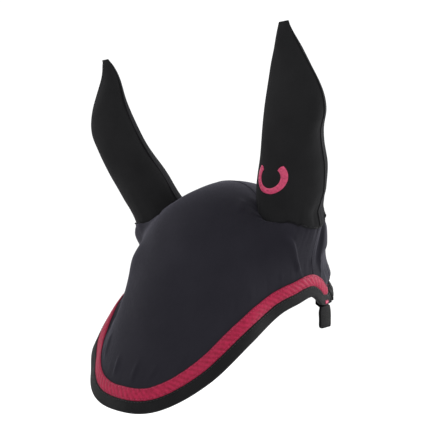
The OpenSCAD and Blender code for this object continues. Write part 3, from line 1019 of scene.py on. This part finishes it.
# %% Welts
def tube(name, line, outs, radius, sides_of_tube=8, closed=False, squash=0.8):
    """Thin tube along a line of places, with outs pointing away from the cloth."""
    ways = np.gradient(line, axis=0) if not closed else np.roll(line, -1, 0) - np.roll(line, 1, 0)
    across = np.cross(ways, outs)
    across /= np.linalg.norm(across, axis=1, keepdims=True)
    outs = np.cross(across, ways)
    outs /= np.linalg.norm(outs, axis=1, keepdims=True)
    turn = np.linspace(0, math.tau, sides_of_tube, endpoint=False)
    radius = np.broadcast_to(radius, len(line))[:, None, None]
    places = (line[:, None] + radius * np.cos(turn)[None, :, None] * across[:, None]
              + radius * squash * np.sin(turn)[None, :, None] * outs[:, None])
    uv = uv_grid(distance_along(line), turn)
    if closed:
        places = np.concatenate([places, places[:1]])
        uv = np.concatenate([uv, uv[-1:] + uv[1:2]])
    obj = grid_piece(name, places, uv, wrap=True)
    if closed:
        apply_modifier(obj, "WELD", merge_threshold=1e-6)
    return finish_edges(close_ends(obj), 70)


def ear_welt(word, side, edge, a):
    t = np.linspace(0.012, 0.995, 160)
    angle = np.full_like(t, a)
    line = ear_point(side, angle, t, ear_t - 0.05)
    outs = ear_point(side, angle, t, ear_t + 0.95) - line
    thin = 0.85 * smooth(1.01, 0.9, t) + 0.25
    obj = tube(f"{word}_ear_{edge}_welt", line, outs, thin)
    return dress_ear(obj, seam_tape, [f"{word}_ear_{edge}_seam"])


def foot_welt(word, side):
    a = np.linspace(0, 360, 180, endpoint=False)
    line = hole_place(side, a, 0.3, cloth_t + 0.4)
    outs = hole_place(side, a, 0.3, cloth_t + 1.4) - line
    thick = 0.8 + 0.1 * np.sin(np.radians(a) * 60)
    obj = tube(f"{word}_ear_foot_welt", line, outs, thick, closed=True)
    return dress(obj, seam_tape, instead_of=[word + "_ear_base_seam"])


welts = {word: [ear_welt(word, side, "inner", 180.0), ear_welt(word, side, "outer", 0.0),
                foot_welt(word, side)] for side, word in SIDES}

# %% [markdown]
# ## The embroidered horseshoe
# The left ear carries a small horseshoe in pink satin stitch: threads laid side by side across the
# band, padded underneath so that it stands up. It is a strip with a rounded section, ridged once
# for each thread, and dimpled where the nail holes are. It lies on the sleeve's own surface, so it
# wraps round it as the real stitching does.

# %% Satin stitch along a horseshoe
shoe_a, shoe_z, shoe_r, shoe_band = -108, 44, 12.2, 2.6
thread_pitch = 0.62


def shoe_place(b, r, h):
    """On the sleeve: b round the horseshoe, r out from its middle, h over the cloth."""
    x, y = r * np.cos(np.radians(b)), -1.12 * r * np.sin(np.radians(b))
    a = shoe_a + np.degrees(x / sleeve_w) * 1.5
    z = shoe_z + y
    return ear_frame(1, sleeve_point(a, z, ear_t + creases(a, z, 1) + h))


b = np.linspace(-50, 230, 560)
path = np.radians(b + 50) * shoe_r
thread = np.abs(np.sin(np.pi * path / thread_pitch)) ** 0.7
nails = np.exp(-((np.mod(path - 6.5, 9.4) - 4.7) / 0.8) ** 2)
ends = np.sqrt(np.clip(1 - np.clip(np.abs(b - 90) - 136, 0, 4) / 4, 0.02, 1))
across = np.linspace(-1, 1, 11)
columns = [shoe_place(b, shoe_r + shoe_band * x * ends * (1 + 0.05 * thread),
                      0.1 + 1.0 * math.sqrt(1.02 - x * x) * (0.85 + 0.15 * thread)
                      - 0.5 * nails * math.exp(-(x / 0.35) ** 2)) for x in across]
columns += [shoe_place(b, shoe_r + shoe_band * 0.9 * x * ends, -0.3) for x in (0.8, 0.0, -0.8)]
# painted highlight on each thread's crest, painted shade in the nail dimples and under the band
tone = np.stack([0.25 + 0.75 * thread * (1 - 0.9 * nails * math.exp(-(x / 0.35) ** 2))
                 for x in across] + [0.2 + 0 * b] * 3, axis=1)
uv = uv_grid(path, np.arange(14) * 0.5)
emblem = grid_piece("horseshoe_embroidery", np.stack(columns, axis=1), uv, wrap=True, tone=tone)
finish_edges(close_ends(emblem), 70)
dress_ear(emblem, embroidery_satin, ["left_ear_emblem"])

# %% [markdown]
# ## The tabs
# A tab is a short strap of folded webbing that hangs from each back corner. Its top is sewn inside
# the binding with a pink bar tack, and below the edge it hangs free and can swing. It starts as a cube
# drawn out to the strap's size. Its lower corners are bevelled round, it is cut into short lengths
# so that it can bend at the hinge, and its edges are softened.

# %% Strap, modelled from a cube
tab_w, tab_t, tab_drop, tab_l, tab_top = 20, 2.4, 4.4, 20, 8
tab_angle = 100


def at_tab(side):
    """Frame of a tab: x along the edge, y outwards, z up from the hem."""
    p = cap_point(tab_angle, reach(tab_angle), cloth_t / 2) * MM
    turn = Matrix.Rotation(math.radians(side * (tab_angle - 180)), 4, "Z")
    return Matrix.Translation((side * p[0], p[1], p[2])) @ turn


def select_edges(obj, wanted):
    """In edit mode, select only the edges whose two ends pass the test."""
    mesh = bmesh.from_edit_mesh(obj.data)
    bpy.ops.mesh.select_all(action="DESELECT")
    for edge in mesh.edges:
        edge.select_set(all(wanted(v.co / MM) for v in edge.verts))
    bmesh.update_edit_mesh(obj.data)


def strap(name):
    length = tab_top + tab_drop + tab_l
    bpy.ops.object.select_all(action="DESELECT")
    bpy.ops.mesh.primitive_cube_add(size=1, location=(0, 0, (tab_top - length / 2) * MM))
    obj = bpy.context.object
    obj.name = name
    obj.scale = (tab_w * MM, tab_t * MM, length * MM)
    bpy.ops.object.transform_apply(location=True, scale=True)
    bottom = tab_top - length
    bpy.ops.object.mode_set(mode="EDIT")
    bpy.ops.mesh.select_mode(type="EDGE")
    for edge_x in (-tab_w / 2, tab_w / 2):
        select_edges(obj, lambda c: abs(c.z - bottom) < 0.1 and abs(c.x - edge_x) < 0.1)
        bpy.ops.mesh.bevel(offset=(2.2 if edge_x < 0 else 5) * MM, segments=6)
    for cut in np.arange(bottom + 5, tab_top - 1, 1.5):
        bpy.ops.mesh.select_all(action="SELECT")
        bpy.ops.mesh.bisect(plane_co=(0, 0, cut * MM), plane_no=(0, 0, 1))
    bpy.ops.object.mode_set(mode="OBJECT")
    return obj


def tab_shape(p, side):
    """The strap is sewn inside the binding, and hangs below it with a ripple and a twist."""
    x, y, z = p
    over = -5.0 * smooth(-3.0, 0.5, z)
    ripple = 0.5 * wander(x / 4 + z / 11) * smooth(-6, -14, z)
    twist = -0.17 * side * x * smooth(2, -9, z)
    return x, y + over + ripple + twist, z


def tab(word, side):
    obj = strap(word + "_tab_strap")
    for vertex in obj.data.vertices:
        vertex.co = Vector(tab_shape(vertex.co / MM, side)) * MM
    obj.data.transform(at_tab(side))
    apply_modifier(obj, "BEVEL", width=0.5 * MM, segments=2, limit_method="ANGLE",
                   angle_limit=math.radians(60))
    only(obj)
    bpy.ops.object.mode_set(mode="EDIT")
    bpy.ops.mesh.select_all(action="SELECT")
    bpy.ops.mesh.quads_convert_to_tris()
    bpy.ops.mesh.normals_make_consistent(inside=False)
    bpy.ops.object.mode_set(mode="OBJECT")
    strap_uv(obj, at_tab(side).inverted())
    finish_edges(obj, 50)
    obj.data.materials.clear()
    obj.data.materials.append(tab_webbing)
    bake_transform(obj)
    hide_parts(word + "_tab")
    return report(obj)


def strap_uv(obj, to_flat):
    """Flat pattern of a strap: along it in U and across it in V."""
    layer = obj.data.uv_layers.get("UVMap") or obj.data.uv_layers.new(name="UVMap")
    for loop in obj.data.loops:
        p = to_flat @ obj.data.vertices[loop.vertex_index].co
        layer.data[loop.index].uv = (p.z, p.x)


tabs = {word: tab(word, side) for side, word in SIDES}


# %% Bar tacks on the tabs
def bar_tack(word, side):
    """Close zigzag of thread across the top of the tab."""
    stitches = 11
    x = np.linspace(-3.2, 3.2, stitches)
    tilt = np.where(np.arange(stitches) % 2 == 0, 1, -1)
    local = np.stack([x, np.full_like(x, cloth_t / 2 + 1.75), np.full_like(x, 1.8)], axis=1)
    turn = np.array(at_tab(side).to_3x3())
    spots = local @ turn.T + np.array(at_tab(side).translation) / MM
    ways = np.stack([0.28 * tilt, 0 * x, 1 + 0 * x], axis=1) @ turn.T
    outs = np.tile(turn @ np.array([0, 1, 0]), (stitches, 1))
    obj = row_of(word + "_tab_bar_tack", one_stitch(4.2, 0.45), spots, ways, outs)
    return dress(obj, embroidery_satin, instead_of=[word + "_tab_tack"])


for side, word in SIDES:
    bar_tack(word, side)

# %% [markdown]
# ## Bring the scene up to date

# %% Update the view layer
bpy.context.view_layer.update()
